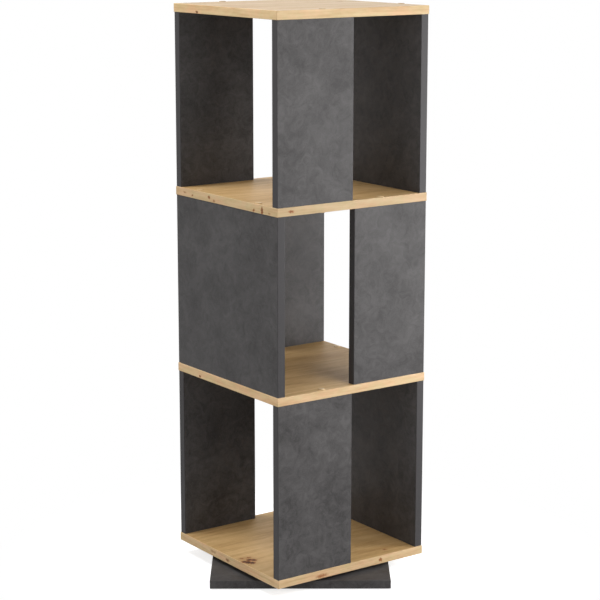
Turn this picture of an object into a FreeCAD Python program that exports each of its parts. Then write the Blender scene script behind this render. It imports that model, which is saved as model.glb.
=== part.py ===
import FreeCAD, Part
import os
import Sketcher
from FreeCAD import Placement, Rotation, Vector

# Revolving shelf unit: a tower of three shelf tiers that turns on a flat square base.
# The floor is at Z = 0 and Z runs up the turning axis. The tower stands square to X and Y.
# The bottom and top tiers are open towards -X. The middle tier is turned half round, open towards +X.

# Driving sizes in millimetres, and one angle in degrees.
SIZES = (
    ("board_side", 340, "side of each square board, over its edging"),
    ("board_thickness", 16, "thickness of the four oak boards"),
    ("base_thickness", 16, "thickness of the base board"),
    ("base_angle", 35.2, "angle of the base to the tower at rest"),
    ("tier_height", 330, "clear height between two boards"),
    ("edging_thickness", 1, "edging strip on boards and panels"),
    ("edging_arris", 0.4, "bevel on the long outer edges of an edging strip"),
    ("panel_thickness", 16, "thickness of the upright panels"),
    ("panel_inset", 1, "panels stand this far in from the edge of a board"),
    ("side_panel_width", 167, "width of a side panel, over its edging"),
    ("back_screw_setback", 72, "from the side of the board to a screw of the back panel"),
    ("side_screw_setback", 104, "from the open face to the screw of a side panel"),
    ("side_dowel_setback", 40, "from the open face to the dowel of a side panel"),
    ("screw_width", 7, "panel screw, across its shank"),
    ("screw_reach", 50, "panel screw, overall length"),
    ("screw_head_width", 10, "panel screw, across its head"),
    ("screw_head_depth", 2, "panel screw, depth of its head"),
    ("socket_width", 4.6, "six-sided socket in the screw head, across its corners"),
    ("socket_depth", 3, "depth of that socket"),
    ("cover_width", 13, "screw cover cap, across its rim"),
    ("cover_rise", 1.6, "cover cap, height above the board"),
    ("cover_rim", 0.6, "cover cap, height of its upright rim"),
    ("cover_slope", 2.6, "cover cap, run of the slope from the rim to the flat top"),
    ("stem_reach", 2.5, "stem under the cap, pressed into the socket"),
    ("dowel_width", 8, "wooden dowel, across"),
    ("dowel_reach", 30, "wooden dowel, length"),
    ("dowel_in_board", 11, "length of the dowel that sits in the board"),
    ("drill_play", 0.2, "a drilled hole is this much wider than what goes in"),
    ("drill_spare", 1, "a blind hole is this much deeper than what goes in"),
    ("cut_overrun", 5, "cutters reach this far past the face they start from"),
    ("glide_width", 22, "pad of a glide, across"),
    ("glide_height", 2, "pad of a glide, height"),
    ("glide_setback", 30, "from two sides of the base to the middle of a glide"),
    ("nail_width", 2, "nail of a glide, across"),
    ("nail_reach", 10, "nail of a glide, length in the base board"),
    ("access_width", 16, "hole in the base for driving the screws of the upper plate"),
    ("plate_side", 150, "side of each turntable plate"),
    ("plate_corner", 15, "corner radius of a plate"),
    ("plate_gauge", 1.5, "sheet thickness of a plate"),
    ("plate_hole_setback", 12, "from two sides of a plate to its corner hole"),
    ("dish_width", 88, "flat middle of the pressed dish, across"),
    ("dish_rise", 2, "how far the dish is pressed out of the flange"),
    ("dish_slope", 2, "run of the sloping wall between dish and flange"),
    ("pivot_width", 16, "centre rivet, across its shank"),
    ("pivot_head_width", 26, "centre rivet, across its heads"),
    ("pivot_head_depth", 1.5, "centre rivet, thickness of a head"),
    ("running_play", 0.08, "clearance all round between parts that turn on each other"),
    ("washer_width", 40, "slip washer between the dishes, across"),
    ("ball_width", 4.8, "bearing ball, across"),
    ("ball_play", 0.1, "clearance of a ball to each plate, and to its window"),
    ("cage_thickness", 2.4, "thickness of the ball cage"),
    ("cage_inner_web", 3.1, "ball cage, between its bore and the windows"),
    ("cage_outer_web", 2.5, "ball cage, between the windows and its outside"),
    ("plate_screw_width", 4, "plate screw, across its shank"),
    ("plate_screw_reach", 13, "plate screw, length under its head"),
    ("plate_screw_head_width", 8, "plate screw, across its head"),
    ("plate_screw_head_depth", 1.8, "plate screw, height of its head"),
)

BALL_COUNT = 16
# Screws, dowels, nails and the holes for them repeat a great deal, so each is drawn with few flats.
FLAT_COUNT = 8
CAP_FLAT_COUNT = 12
ROUND_FLAT_COUNT = 24
CAGE_FLAT_COUNT = 48
SOCKET_SIDE_COUNT = 6

# Tiers from the floor up, with the side they face: 1 is open towards -X, -1 is turned half round.
TIERS = (("bottom_tier", 1), ("middle_tier", -1), ("top_tier", 1))
BOARDS = ("bottom_board", "lower_middle_board", "upper_middle_board", "top_board")

# Heights and lines that several pieces share, as formulas on the sheet.
BASE_TOP = "(sizes.glide_height + sizes.base_thickness)"
BEARING_HEIGHT = "(2 * sizes.plate_gauge + sizes.ball_width + 2 * sizes.ball_play)"
TOWER_LOW = f"({BASE_TOP} + {BEARING_HEIGHT})"
PANEL_LINE = "(sizes.board_side / 2 - sizes.panel_inset - sizes.panel_thickness / 2)"
BACK_SCREW = "(sizes.board_side / 2 - sizes.back_screw_setback)"
SIDE_SCREW = "(sizes.side_screw_setback - sizes.board_side / 2)"
SIDE_DOWEL = "(sizes.side_dowel_setback - sizes.board_side / 2)"
PLATE_HOLE = "(sizes.plate_side / 2 - sizes.plate_hole_setback)"
CORNERS = ((1, 1), (-1, 1), (-1, -1), (1, -1))

AS_DRAWN = Rotation()
UPSIDE_DOWN = Rotation(Vector(1, 0, 0), 180)

doc = FreeCAD.newDocument("revolving_shelf")
sheet = doc.addObject("Spreadsheet::Sheet", "sizes")
for row, (alias, size, meaning) in enumerate(SIZES, start=1):
    sheet.set(f"A{row}", alias)
    sheet.set(f"B{row}", str(size))
    sheet.setAlias(f"B{row}", alias)
    sheet.set(f"C{row}", meaning)
doc.recompute()

pieces = []


def about_z(degrees):
    return Rotation(Vector(0, 0, 1), degrees)


def tie(item, **formulas):
    """Bind properties of an object to formulas; x, y, z and angle stand for its placement."""
    short = {"x": "Base.x", "y": "Base.y", "z": "Base.z", "angle": "Rotation.Angle"}
    for key, formula in formulas.items():
        path = f"Placement.{short[key]}" if key in short else key
        item.setExpression(path, formula)
    return item


def place(item, x, y, z, rotation=AS_DRAWN):
    """Turn an object, then tie its origin to a point."""
    item.Placement = Placement(Vector(), rotation)
    return tie(item, x=x, y=y, z=z)


def place_on_base(item, z):
    """Stand an object on the turning axis, turned with the base."""
    place(item, "0", "0", z, Rotation(Vector(0, 0, -1), 90))
    return tie(item, angle="sizes.base_angle")


def piece(item, label):
    """Register a finished sub-part under the name of its file."""
    item.Label = label
    pieces.append(item)
    return item


def block(name, length, width, height):
    """A block centred on its Z axis, standing on Z = 0."""
    item = doc.addObject("Part::Box", name)
    tie(item, Length=length, Width=width, Height=height)
    return tie(item, x=f"-({length}) / 2", y=f"-({width}) / 2")


def rod(name, width, low, high, x="0", y="0", flats=FLAT_COUNT):
    """An upright rod with flats, as wide over its corners as given, from one height to another."""
    item = doc.addObject("Part::Prism", name)
    item.Polygon = flats
    tie(item, Circumradius=f"({width}) / 2", Height=f"({high}) - ({low})")
    return tie(item, x=x, y=y, z=low)


def fuse(name, items):
    item = doc.addObject("Part::MultiFuse", name)
    item.Shapes = items
    return item


def cut(name, base, cutters):
    """Take one or more cutters, which may overlap, away from a base."""
    item = doc.addObject("Part::Cut", name)
    item.Base = base
    item.Tool = cutters[0] if len(cutters) == 1 else fuse(f"{name}_cutters", cutters)
    return item


def group(name, model, places):
    """Separate solids like the model, one at each place: x, y, z and rotation."""
    copies = []
    for number, (x, y, z, rotation) in enumerate(places, start=1):
        copy = doc.addObject("App::Link", f"{name}_{number}")
        copy.LinkedObject = model
        copies.append(place(copy, x, y, z, rotation))
    item = doc.addObject("Part::Compound", name)
    item.Links = copies
    return item


def number_of(formula):
    """The present value of a formula, for the first drawing of a sketch."""
    found = sheet.evalExpression(formula)
    return float(getattr(found, "Value", found))


def hold(sketch, kind, where, formula):
    """Add a constraint whose value follows a formula."""
    name = f"{kind}_{len(sketch.Constraints)}"
    index = sketch.addConstraint(Sketcher.Constraint(kind, *where, number_of(formula)))
    sketch.renameConstraint(index, name)
    sketch.setExpression(f"Constraints.{name}", formula)


def hold_point(sketch, line, end, x, y):
    """Hold the end of a line at x and y from the sketch's origin."""
    for kind, formula, axis in (("DistanceX", x, -2), ("DistanceY", y, -1)):
        if formula == "0":
            sketch.addConstraint(Sketcher.Constraint("PointOnObject", line, end, axis))
        else:
            hold(sketch, kind, (-1, 1, line, end), formula)


def draw_outline(sketch, corners):
    """Draw a closed outline of straight lines through corners given as formulas."""
    points = [Vector(number_of(x), number_of(y), 0) for x, y in corners]
    count = len(points)
    for line, start in enumerate(points):
        sketch.addGeometry(Part.LineSegment(start, points[(line + 1) % count]), False)
    for line, (x, y) in enumerate(corners):
        sketch.addConstraint(Sketcher.Constraint("Coincident", line, 2, (line + 1) % count, 1))
        hold_point(sketch, line, 1, x, y)


def draw_rounded_square(sketch, side, radius):
    """Draw a square with round corners about the origin: arcs 0 to 3, then lines 4 to 7."""
    reach = number_of(f"({side}) / 2")
    bend = number_of(radius)
    quarter = number_of("pi / 2")
    for corner, (across, up) in enumerate(CORNERS):
        middle = Vector(across * (reach - bend), up * (reach - bend), 0)
        circle = Part.Circle(middle, Vector(0, 0, 1), bend)
        sketch.addGeometry(Part.ArcOfCircle(circle, corner * quarter, (corner + 1) * quarter), False)
    for corner in range(len(CORNERS)):
        start = sketch.getPoint(corner, 2)
        end = sketch.getPoint((corner + 1) % len(CORNERS), 1)
        sketch.addGeometry(Part.LineSegment(start, end), False)
    for corner, (across, up) in enumerate(CORNERS):
        line = corner + len(CORNERS)
        sketch.addConstraint(Sketcher.Constraint("Tangent", corner, 2, line, 1))
        sketch.addConstraint(Sketcher.Constraint("Tangent", line, 2, (corner + 1) % len(CORNERS), 1))
        hold(sketch, "Radius", (corner,), radius)
        hold(sketch, "DistanceX", (-1, 1, corner, 3), f"{across} * (({side}) / 2 - ({radius}))")
        hold(sketch, "DistanceY", (-1, 1, corner, 3), f"{up} * (({side}) / 2 - ({radius}))")


def draw_circle(sketch, radius):
    """Draw a circle about the origin whose radius is a formula."""
    index = sketch.addGeometry(Part.Circle(Vector(), Vector(0, 0, 1), number_of(radius)), False)
    sketch.addConstraint(Sketcher.Constraint("Coincident", index, 3, -1, 1))
    hold(sketch, "Radius", (index,), radius)


def flat_circle(x, y, radius):
    """Corners of a small round hole drawn with flats, as formulas."""
    turns = [f"{360 * number / FLAT_COUNT} deg" for number in range(FLAT_COUNT)]
    return [(f"{x} + {radius} * cos({turn})", f"{y} + {radius} * sin({turn})") for turn in turns]


def body_sketch(body, name, role):
    """A sketch on one of a body's own origin planes."""
    plane = next(item for item in body.Origin.OriginFeatures if item.Role == role)
    sketch = body.newObject("Sketcher::SketchObject", name)
    sketch.AttachmentSupport = (plane, [""])
    sketch.MapMode = "FlatFace"
    return sketch


def board_low(level):
    """Height of the underside of a board, counted from the bottom board."""
    return f"({TOWER_LOW} + {level} * (sizes.board_thickness + sizes.tier_height))"


def board_top(level):
    return f"({board_low(level)} + sizes.board_thickness)"


def screw_spots(facing):
    """Where the four screws at one end of a tier stand: two in the back panel, one in each side."""
    back = f"{facing} * {PANEL_LINE}"
    side = f"{facing} * {SIDE_SCREW}"
    return (
        (back, BACK_SCREW),
        (back, f"-{BACK_SCREW}"),
        (side, PANEL_LINE),
        (side, f"-{PANEL_LINE}"),
    )


def dowel_spots(facing):
    """Where the two dowels at one end of a tier stand, one in each side panel."""
    along = f"{facing} * {SIDE_DOWEL}"
    return ((along, PANEL_LINE), (along, f"-{PANEL_LINE}"))


def plate_spots():
    """Where the four screws of a turntable plate stand."""
    return [(f"{across} * {PLATE_HOLE}", f"{up} * {PLATE_HOLE}") for across, up in CORNERS]


def glide_spots():
    """Where the four glides stand under the base."""
    reach = "(sizes.board_side / 2 - sizes.glide_setback)"
    return [(f"{across} * {reach}", f"{up} * {reach}") for across, up in CORNERS]


# Hardware that repeats. Each model stands about the Z axis, with the surface it is driven into at Z = 0.
def make_panel_screw():
    """Flat-headed panel screw with a six-sided socket. The shank has the width of its thread."""
    shank = rod("screw_shank", "sizes.screw_width", "-sizes.screw_reach", "-sizes.screw_head_depth")
    head = rod("screw_head", "sizes.screw_head_width", "-sizes.screw_head_depth", "0")
    socket_low = "-sizes.socket_depth"
    socket_high = "sizes.cut_overrun"
    socket = rod(
        "screw_socket", "sizes.socket_width", socket_low, socket_high, flats=SOCKET_SIDE_COUNT
    )
    return cut("panel_screw", fuse("screw_solid", [shank, head]), [socket])


def make_cap():
    """Cover cap: upright rim, sloping shoulder, flat top, and a six-sided stem underneath."""
    top_width = "sizes.cover_width - 2 * sizes.cover_slope"
    levels = (
        ("sizes.cover_width", "0"),
        ("sizes.cover_width", "sizes.cover_rim"),
        (top_width, "sizes.cover_rise"),
    )
    rings = []
    for number, (width, height) in enumerate(levels):
        ring = doc.addObject("Part::RegularPolygon", f"cap_ring_{number}")
        ring.Polygon = CAP_FLAT_COUNT
        rings.append(tie(ring, Circumradius=f"({width}) / 2", z=height))
    dome = doc.addObject("Part::Loft", "cap_dome")
    dome.Sections = rings
    dome.Solid = True
    dome.Ruled = True
    stem_width = "sizes.socket_width - sizes.drill_play"
    stem = rod("cap_stem", stem_width, "-sizes.stem_reach", "0", flats=SOCKET_SIDE_COUNT)
    return fuse("cover_cap", [dome, stem])


def make_dowel():
    """Dowel with its middle where board and panel meet, the panel's length upwards."""
    low = "-sizes.dowel_in_board"
    high = "sizes.dowel_reach - sizes.dowel_in_board"
    return fuse_alone("dowel", rod("dowel_rod", "sizes.dowel_width", low, high))


def fuse_alone(name, item):
    """Wrap one solid, so that copies of it keep its place about the Z axis."""
    wrap = doc.addObject("Part::Compound", name)
    wrap.Links = [item]
    return wrap


def make_glide():
    """Round pad with a nail that stands up into the base board."""
    pad = rod("glide_pad", "sizes.glide_width", "0", "sizes.glide_height", flats=ROUND_FLAT_COUNT)
    tip = "sizes.glide_height + sizes.nail_reach"
    nail = rod("glide_nail", "sizes.nail_width", "sizes.glide_height", tip)
    return fuse("glide", [pad, nail])


def make_plate_screw():
    """Pan-headed wood screw. The shank has the width of its thread."""
    shank = rod("plate_screw_shank", "sizes.plate_screw_width", "-sizes.plate_screw_reach", "0")
    head = rod("plate_screw_head", "sizes.plate_screw_head_width", "0", "sizes.plate_screw_head_depth")
    return fuse("plate_screw", [shank, head])


def make_ball():
    """Bearing ball, drawn as a cube bevelled along all its edges, 26 flat faces."""
    body = doc.addObject("PartDesign::Body", "ball")
    cube = body.newObject("PartDesign::AdditiveBox", "ball_cube")
    tie(cube, Length="sizes.ball_width", Width="sizes.ball_width", Height="sizes.ball_width")
    middle = "-sizes.ball_width / 2"
    tie(cube, x=middle, y=middle, z=middle)
    doc.recompute()
    bevel = body.newObject("PartDesign::Chamfer", "ball_bevel")
    bevel.Base = (cube, ["Face1"])
    bevel.UseAllEdges = True
    tie(bevel, Size="sizes.ball_width * (1 - 1 / (1 + sqrt(2))) / 2")
    return body


def make_strip(name, face_width, length, upright):
    """Edging strip with both long outer edges bevelled, its glued face on the local zero."""
    thickness = "sizes.edging_thickness"
    shoulder = "sizes.edging_thickness - sizes.edging_arris"
    half = f"({face_width}) / 2"
    section = doc.addObject("Sketcher::SketchObject", f"{name}_section")
    draw_outline(
        section,
        (
            ("0", f"-{half}"),
            (shoulder, f"-{half}"),
            (thickness, f"sizes.edging_arris - {half}"),
            (thickness, f"{half} - sizes.edging_arris"),
            (shoulder, half),
            ("0", half),
        ),
    )
    if not upright:
        # Section X and Y lie along the model's Y and Z, and the strip runs along its X.
        section.Placement = Placement(Vector(), Rotation(Vector(1, 1, 1), 120))
    strip = doc.addObject("Part::Extrusion", name)
    strip.Base = section
    strip.DirMode = "Normal"
    strip.Solid = True
    strip.Symmetric = not upright
    return tie(strip, LengthFwd=length)


def make_board_edging(name, thickness):
    """Four strips round a square board: two full-length ones and two between their ends."""
    reach = "(sizes.board_side / 2 - sizes.edging_thickness)"
    height = f"({thickness}) / 2"
    long_strip = make_strip(f"{name}_long", thickness, "sizes.board_side", False)
    short_length = "sizes.board_side - 2 * sizes.edging_thickness"
    short_strip = make_strip(f"{name}_short", thickness, short_length, False)
    long_pair = group(
        f"{name}_long_pair",
        long_strip,
        (("0", reach, height, about_z(0)), ("0", f"-{reach}", height, about_z(180))),
    )
    short_pair = group(
        f"{name}_short_pair",
        short_strip,
        ((f"-{reach}", "0", height, about_z(90)), (reach, "0", height, about_z(270))),
    )
    edging = doc.addObject("Part::Compound", name)
    edging.Links = long_pair.Links + short_pair.Links
    return edging


def recessed_hole(name, x, y, head_up):
    """Cutters for one panel screw through a board: a recess for the head, a hole for the shank."""
    head_width = "sizes.screw_head_width + sizes.drill_play"
    shank_width = "sizes.screw_width + sizes.drill_play"
    if head_up:
        recess_low = "sizes.board_thickness - sizes.screw_head_depth"
        recess_high = "sizes.board_thickness + sizes.cut_overrun"
    else:
        recess_low = "-sizes.cut_overrun"
        recess_high = "sizes.screw_head_depth"
    through = "sizes.board_thickness + sizes.cut_overrun"
    return [
        rod(f"{name}_recess", head_width, recess_low, recess_high, x, y),
        rod(f"{name}_shank", shank_width, "-sizes.cut_overrun", through, x, y),
    ]


def make_board(label, level):
    """Oak board of the tower, drilled for the tier under it and the tier on it."""
    core_side = "sizes.board_side - 2 * sizes.edging_thickness"
    core = block(f"{label}_core", core_side, core_side, "sizes.board_thickness")
    dowel_hole = "sizes.dowel_width + sizes.drill_play"
    dowel_depth = "sizes.dowel_in_board + sizes.drill_spare"
    above = "sizes.board_thickness + sizes.cut_overrun"
    cutters = []
    if level > 0:
        facing = TIERS[level - 1][1]
        for spot, (x, y) in enumerate(screw_spots(facing)):
            cutters += recessed_hole(f"{label}_down_{spot}", x, y, head_up=True)
        for spot, (x, y) in enumerate(dowel_spots(facing)):
            name = f"{label}_dowel_under_{spot}"
            cutters.append(rod(name, dowel_hole, "-sizes.cut_overrun", dowel_depth, x, y))
    if level < len(TIERS):
        facing = TIERS[level][1]
        for spot, (x, y) in enumerate(screw_spots(facing)):
            cutters += recessed_hole(f"{label}_up_{spot}", x, y, head_up=False)
        for spot, (x, y) in enumerate(dowel_spots(facing)):
            name = f"{label}_dowel_over_{spot}"
            cutters.append(
                rod(name, dowel_hole, f"sizes.board_thickness - ({dowel_depth})", above, x, y)
            )
    if level == 0:
        hole = "sizes.plate_screw_width + sizes.drill_play"
        depth = "sizes.plate_screw_reach - sizes.plate_gauge + sizes.drill_spare"
        for spot, (x, y) in enumerate(plate_spots()):
            cutters.append(rod(f"{label}_pilot_{spot}", hole, "-sizes.cut_overrun", depth, x, y))
    board = cut(label, core, cutters)
    piece(place(board, "0", "0", board_low(level)), label)
    edging = make_board_edging(f"{label}_edging", "sizes.board_thickness")
    piece(place(edging, "0", "0", board_low(level)), f"{label}_edging")


def make_panel(label, width, screws, dowels, spot):
    """Upright panel drilled in both ends, with edging on its two upright edges.

    Screws and dowels are given along the width from its middle; spot is x, y, z and rotation.
    """
    core_width = f"({width}) - 2 * sizes.edging_thickness"
    core = block(f"{label}_core", core_width, "sizes.panel_thickness", "sizes.tier_height")
    screw_hole = "sizes.screw_width + sizes.drill_play"
    screw_depth = "(sizes.screw_reach - sizes.board_thickness + sizes.drill_spare)"
    dowel_hole = "sizes.dowel_width + sizes.drill_play"
    dowel_depth = "(sizes.dowel_reach - sizes.dowel_in_board + sizes.drill_spare)"
    over = "sizes.tier_height + sizes.cut_overrun"
    cutters = []
    holes = [("screw", screw_hole, screw_depth, x) for x in screws]
    holes += [("dowel", dowel_hole, dowel_depth, x) for x in dowels]
    for number, (kind, hole, depth, x) in enumerate(holes):
        name = f"{label}_{kind}_{number}"
        cutters.append(rod(f"{name}_low", hole, "-sizes.cut_overrun", depth, x))
        cutters.append(rod(f"{name}_high", hole, f"sizes.tier_height - {depth}", over, x))
    piece(place(cut(label, core, cutters), *spot), label)
    reach = f"(({width}) / 2 - sizes.edging_thickness)"
    ends = ((reach, "0", "0", about_z(0)), (f"-{reach}", "0", "0", about_z(180)))
    edging = group(f"{label}_edging", panel_strip, ends)
    piece(place(edging, *spot), f"{label}_edging")


def make_tier(name, facing, level):
    """One back panel and two side panels between two boards, with their dowels."""
    low = board_top(level)
    back_width = "sizes.board_side - 2 * sizes.panel_inset"
    make_panel(
        f"{name}_back_panel",
        back_width,
        (BACK_SCREW, f"-{BACK_SCREW}"),
        (),
        (f"{facing} * {PANEL_LINE}", "0", low, about_z(90 * facing)),
    )
    # Side panels start at the open face; places on them are counted from the middle of their width.
    middle = "(sizes.panel_inset + sizes.side_panel_width / 2)"
    along = f"{facing} * ({middle} - sizes.board_side / 2)"
    for side, across in (("left", facing), ("right", -facing)):
        make_panel(
            f"{name}_{side}_panel",
            "sizes.side_panel_width",
            (f"(sizes.side_screw_setback - {middle})",),
            (f"(sizes.side_dowel_setback - {middle})",),
            (along, f"{across} * {PANEL_LINE}", low, about_z(90 - 90 * facing)),
        )
    high = board_low(level + 1)
    places = [(x, y, low, AS_DRAWN) for x, y in dowel_spots(facing)]
    places += [(x, y, high, UPSIDE_DOWN) for x, y in dowel_spots(facing)]
    piece(group(f"{name}_dowels", dowel, places), f"{name}_dowels")


def make_board_fasteners(label, level):
    """Screws through one board into the panels under and over it, and the caps that cover them."""
    screw_places = []
    cap_places = []
    if level > 0:
        for x, y in screw_spots(TIERS[level - 1][1]):
            screw_places.append((x, y, board_top(level), AS_DRAWN))
            cap_places.append((x, y, board_top(level), AS_DRAWN))
    if level < len(TIERS):
        for x, y in screw_spots(TIERS[level][1]):
            screw_places.append((x, y, board_low(level), UPSIDE_DOWN))
            if level > 0:
                cap_places.append((x, y, board_low(level), UPSIDE_DOWN))
    piece(group(f"{label}_screws", panel_screw, screw_places), f"{label}_screws")
    if cap_places:
        piece(group(f"{label}_caps", cover_cap, cap_places), f"{label}_caps")


def make_base():
    """Base board with edging and glides, drilled for the lower plate and for a screwdriver."""
    core_side = "sizes.board_side - 2 * sizes.edging_thickness"
    core = block("base_core", core_side, core_side, "sizes.base_thickness")
    over = "sizes.base_thickness + sizes.cut_overrun"
    cutters = []
    screw_hole = "sizes.plate_screw_width + sizes.drill_play"
    screw_depth = "(sizes.plate_screw_reach - sizes.plate_gauge + sizes.drill_spare)"
    for spot, (x, y) in enumerate(plate_spots()):
        low = f"sizes.base_thickness - {screw_depth}"
        cutters.append(rod(f"base_pilot_{spot}", screw_hole, low, over, x, y))
    nail_hole = "sizes.nail_width + sizes.drill_play"
    nail_depth = "sizes.nail_reach + sizes.drill_spare"
    for spot, (x, y) in enumerate(glide_spots()):
        cutters.append(rod(f"base_nail_{spot}", nail_hole, "-sizes.cut_overrun", nail_depth, x, y))
    aside = f"{PLATE_HOLE} * sqrt(2)"
    cutters.append(
        rod("base_access", "sizes.access_width", "-sizes.cut_overrun", over, aside, flats=ROUND_FLAT_COUNT)
    )
    piece(place_on_base(cut("base_board", core, cutters), "sizes.glide_height"), "base_board")
    edging = make_board_edging("base_edging", "sizes.base_thickness")
    piece(place_on_base(edging, "sizes.glide_height"), "base_edging")
    places = [(x, y, "0", AS_DRAWN) for x, y in glide_spots()]
    piece(place_on_base(group("floor_glides", make_glide(), places), "0"), "floor_glides")


def make_plate(label):
    """Pressed square plate: a flat flange that carries the balls and a raised round dish inside.

    The flange's outer face is on Z = 0, and the dish rises from it.
    """
    body = doc.addObject("PartDesign::Body", label)
    gauge = "sizes.plate_gauge"
    rise = "sizes.dish_rise"
    hole = "(sizes.pivot_width / 2 + sizes.running_play)"
    dish = "sizes.dish_width / 2"
    foot = "(sizes.dish_width / 2 + sizes.dish_slope)"
    # The sloping wall keeps the sheet thickness, so its outer line is shifted by this much.
    shift = f"{gauge} * tan(atan({rise} / sizes.dish_slope) / 2)"
    edge = "(sizes.plate_side / sqrt(2) + sizes.cut_overrun)"
    section = body_sketch(body, f"{label}_section", "XZ_Plane")
    draw_outline(
        section,
        (
            (hole, rise),
            (dish, rise),
            (foot, "0"),
            (edge, "0"),
            (edge, gauge),
            (f"{foot} + {shift}", gauge),
            (f"{dish} + {shift}", f"{rise} + {gauge}"),
            (hole, f"{rise} + {gauge}"),
        ),
    )
    pressing = body.newObject("PartDesign::Revolution", f"{label}_pressing")
    pressing.Profile = section
    pressing.ReferenceAxis = (section, ["V_Axis"])
    pressing.Angle = 360
    outline = body_sketch(body, f"{label}_outline", "XY_Plane")
    draw_rounded_square(outline, "sizes.plate_side", "sizes.plate_corner")
    draw_circle(outline, f"{edge} + sizes.cut_overrun")
    trim = body.newObject("PartDesign::Pocket", f"{label}_trim")
    trim.Profile = outline
    trim.Type = "ThroughAll"
    trim.Reversed = True
    screw_hole = body_sketch(body, f"{label}_screw_hole", "XY_Plane")
    hole_radius = "(sizes.plate_screw_width + sizes.drill_play) / 2"
    draw_outline(screw_hole, flat_circle(PLATE_HOLE, PLATE_HOLE, hole_radius))
    drilled = body.newObject("PartDesign::Pocket", f"{label}_drilled")
    drilled.Profile = screw_hole
    drilled.Type = "ThroughAll"
    drilled.Reversed = True
    doc.recompute()
    corners = body.newObject("PartDesign::PolarPattern", f"{label}_corners")
    corners.Originals = [drilled]
    corners.Axis = (screw_hole, ["N_Axis"])
    corners.Angle = 360
    corners.Occurrences = len(CORNERS)
    body.Tip = corners
    return piece(body, label)


def make_turntable():
    """Ball turntable: two pressed plates, balls in a cage between them, and a rivet through both."""
    place_on_base(make_plate("turntable_lower_plate"), BASE_TOP)
    place(make_plate("turntable_upper_plate"), "0", "0", TOWER_LOW, UPSIDE_DOWN)

    # The rivet's lower head sits under the lower dish and turns with it. The upper one clears its dish.
    head = "sizes.pivot_head_width"
    lower_face = "sizes.dish_rise"
    lower_end = f"{lower_face} - sizes.pivot_head_depth"
    upper_face = f"({BEARING_HEIGHT} - sizes.dish_rise + sizes.running_play)"
    upper_end = f"{upper_face} + sizes.pivot_head_depth"
    shank = rod("pivot_shank", "sizes.pivot_width", lower_face, upper_face, flats=ROUND_FLAT_COUNT)
    low_head = rod("pivot_low_head", head, lower_end, lower_face, flats=ROUND_FLAT_COUNT)
    high_head = rod("pivot_high_head", head, upper_face, upper_end, flats=ROUND_FLAT_COUNT)
    rivet = fuse("turntable_rivet", [shank, low_head, high_head])
    piece(place_on_base(rivet, BASE_TOP), "turntable_rivet")

    # The washer lies on the lower dish and fills the gap to the upper one, less the running clearance.
    washer_low = "(sizes.dish_rise + sizes.plate_gauge)"
    washer_high = f"({BEARING_HEIGHT} - {washer_low} - sizes.running_play)"
    disc = rod("washer_disc", "sizes.washer_width", washer_low, washer_high, flats=ROUND_FLAT_COUNT)
    bore_low = f"{washer_low} - sizes.cut_overrun"
    bore_high = f"{washer_high} + sizes.cut_overrun"
    bore_width = "sizes.pivot_width + 2 * sizes.running_play"
    washer_bore = rod("washer_bore", bore_width, bore_low, bore_high, flats=ROUND_FLAT_COUNT)
    washer = cut("slip_washer", disc, [washer_bore])
    piece(place_on_base(washer, BASE_TOP), "slip_washer")

    # The cage is a ring whose bore runs on the sloping walls of both dishes. The balls stand in its
    # windows, so their circle follows from it.
    middle = f"({BEARING_HEIGHT} / 2)"
    low = f"({middle} - sizes.cage_thickness / 2)"
    slope = "(sizes.dish_slope / sizes.dish_rise)"
    shift = "sizes.plate_gauge * tan(atan(sizes.dish_rise / sizes.dish_slope) / 2)"
    dish_edge = f"(sizes.dish_width / 2 + {shift})"
    wall = f"({dish_edge} + (sizes.dish_rise + sizes.plate_gauge - {low}) * {slope})"
    inner = f"({wall} + sizes.running_play)"
    window_side = "(sizes.ball_width + 2 * sizes.ball_play)"
    ball_radius = f"({inner} + sizes.cage_inner_web + {window_side} / 2)"
    outer = f"({ball_radius} + {window_side} / 2 + sizes.cage_outer_web)"
    spots = []
    for number in range(BALL_COUNT):
        angle = 360 * number / BALL_COUNT
        x = f"{ball_radius} * cos({angle} deg)"
        y = f"{ball_radius} * sin({angle} deg)"
        spots.append((x, y, middle, about_z(angle)))
    balls = group("bearing_balls", make_ball(), spots)
    piece(place_on_base(balls, BASE_TOP), "bearing_balls")

    # The bore is given over its flats, so that their middles clear the walls.
    half = "sizes.cage_thickness / 2"
    disc = rod("cage_disc", f"2 * {outer}", f"-{half}", half, flats=CAGE_FLAT_COUNT)
    bore_low = "-sizes.cage_thickness"
    bore_width = f"2 * {inner} / cos(180 deg / {CAGE_FLAT_COUNT})"
    bore = rod("cage_bore", bore_width, bore_low, "sizes.cage_thickness", flats=CAGE_FLAT_COUNT)
    window = block("cage_window_block", window_side, window_side, "2 * sizes.cage_thickness")
    tie(window, z="-sizes.cage_thickness")
    places = [(x, y, "0", turn) for x, y, _, turn in spots]
    windows = group("cage_windows", fuse_alone("cage_window", window), places)
    cage = cut("ball_cage", disc, [bore, windows])
    piece(place_on_base(cage, f"{BASE_TOP} + {middle}"), "ball_cage")

    seat = f"{BASE_TOP} + sizes.plate_gauge"
    lower_places = [(x, y, "0", AS_DRAWN) for x, y in plate_spots()]
    lower_screws = group("lower_plate_screws", plate_screw, lower_places)
    piece(place_on_base(lower_screws, seat), "lower_plate_screws")
    upper_seat = f"{TOWER_LOW} - sizes.plate_gauge"
    upper_places = [(x, y, upper_seat, UPSIDE_DOWN) for x, y in plate_spots()]
    piece(group("upper_plate_screws", plate_screw, upper_places), "upper_plate_screws")


def check_document():
    """Stop if any object failed, or if a sub-part's shape is empty or not valid."""
    for item in doc.Objects:
        failed = [word for word in ("Invalid", "Error") if word in item.State]
        if failed:
            raise RuntimeError(f"{item.Label} is {failed}")
    for item in pieces:
        if item.Shape.isNull() or not item.Shape.isValid() or not item.Shape.Solids:
            raise RuntimeError(f"{item.Label} has no valid shape")


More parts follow.
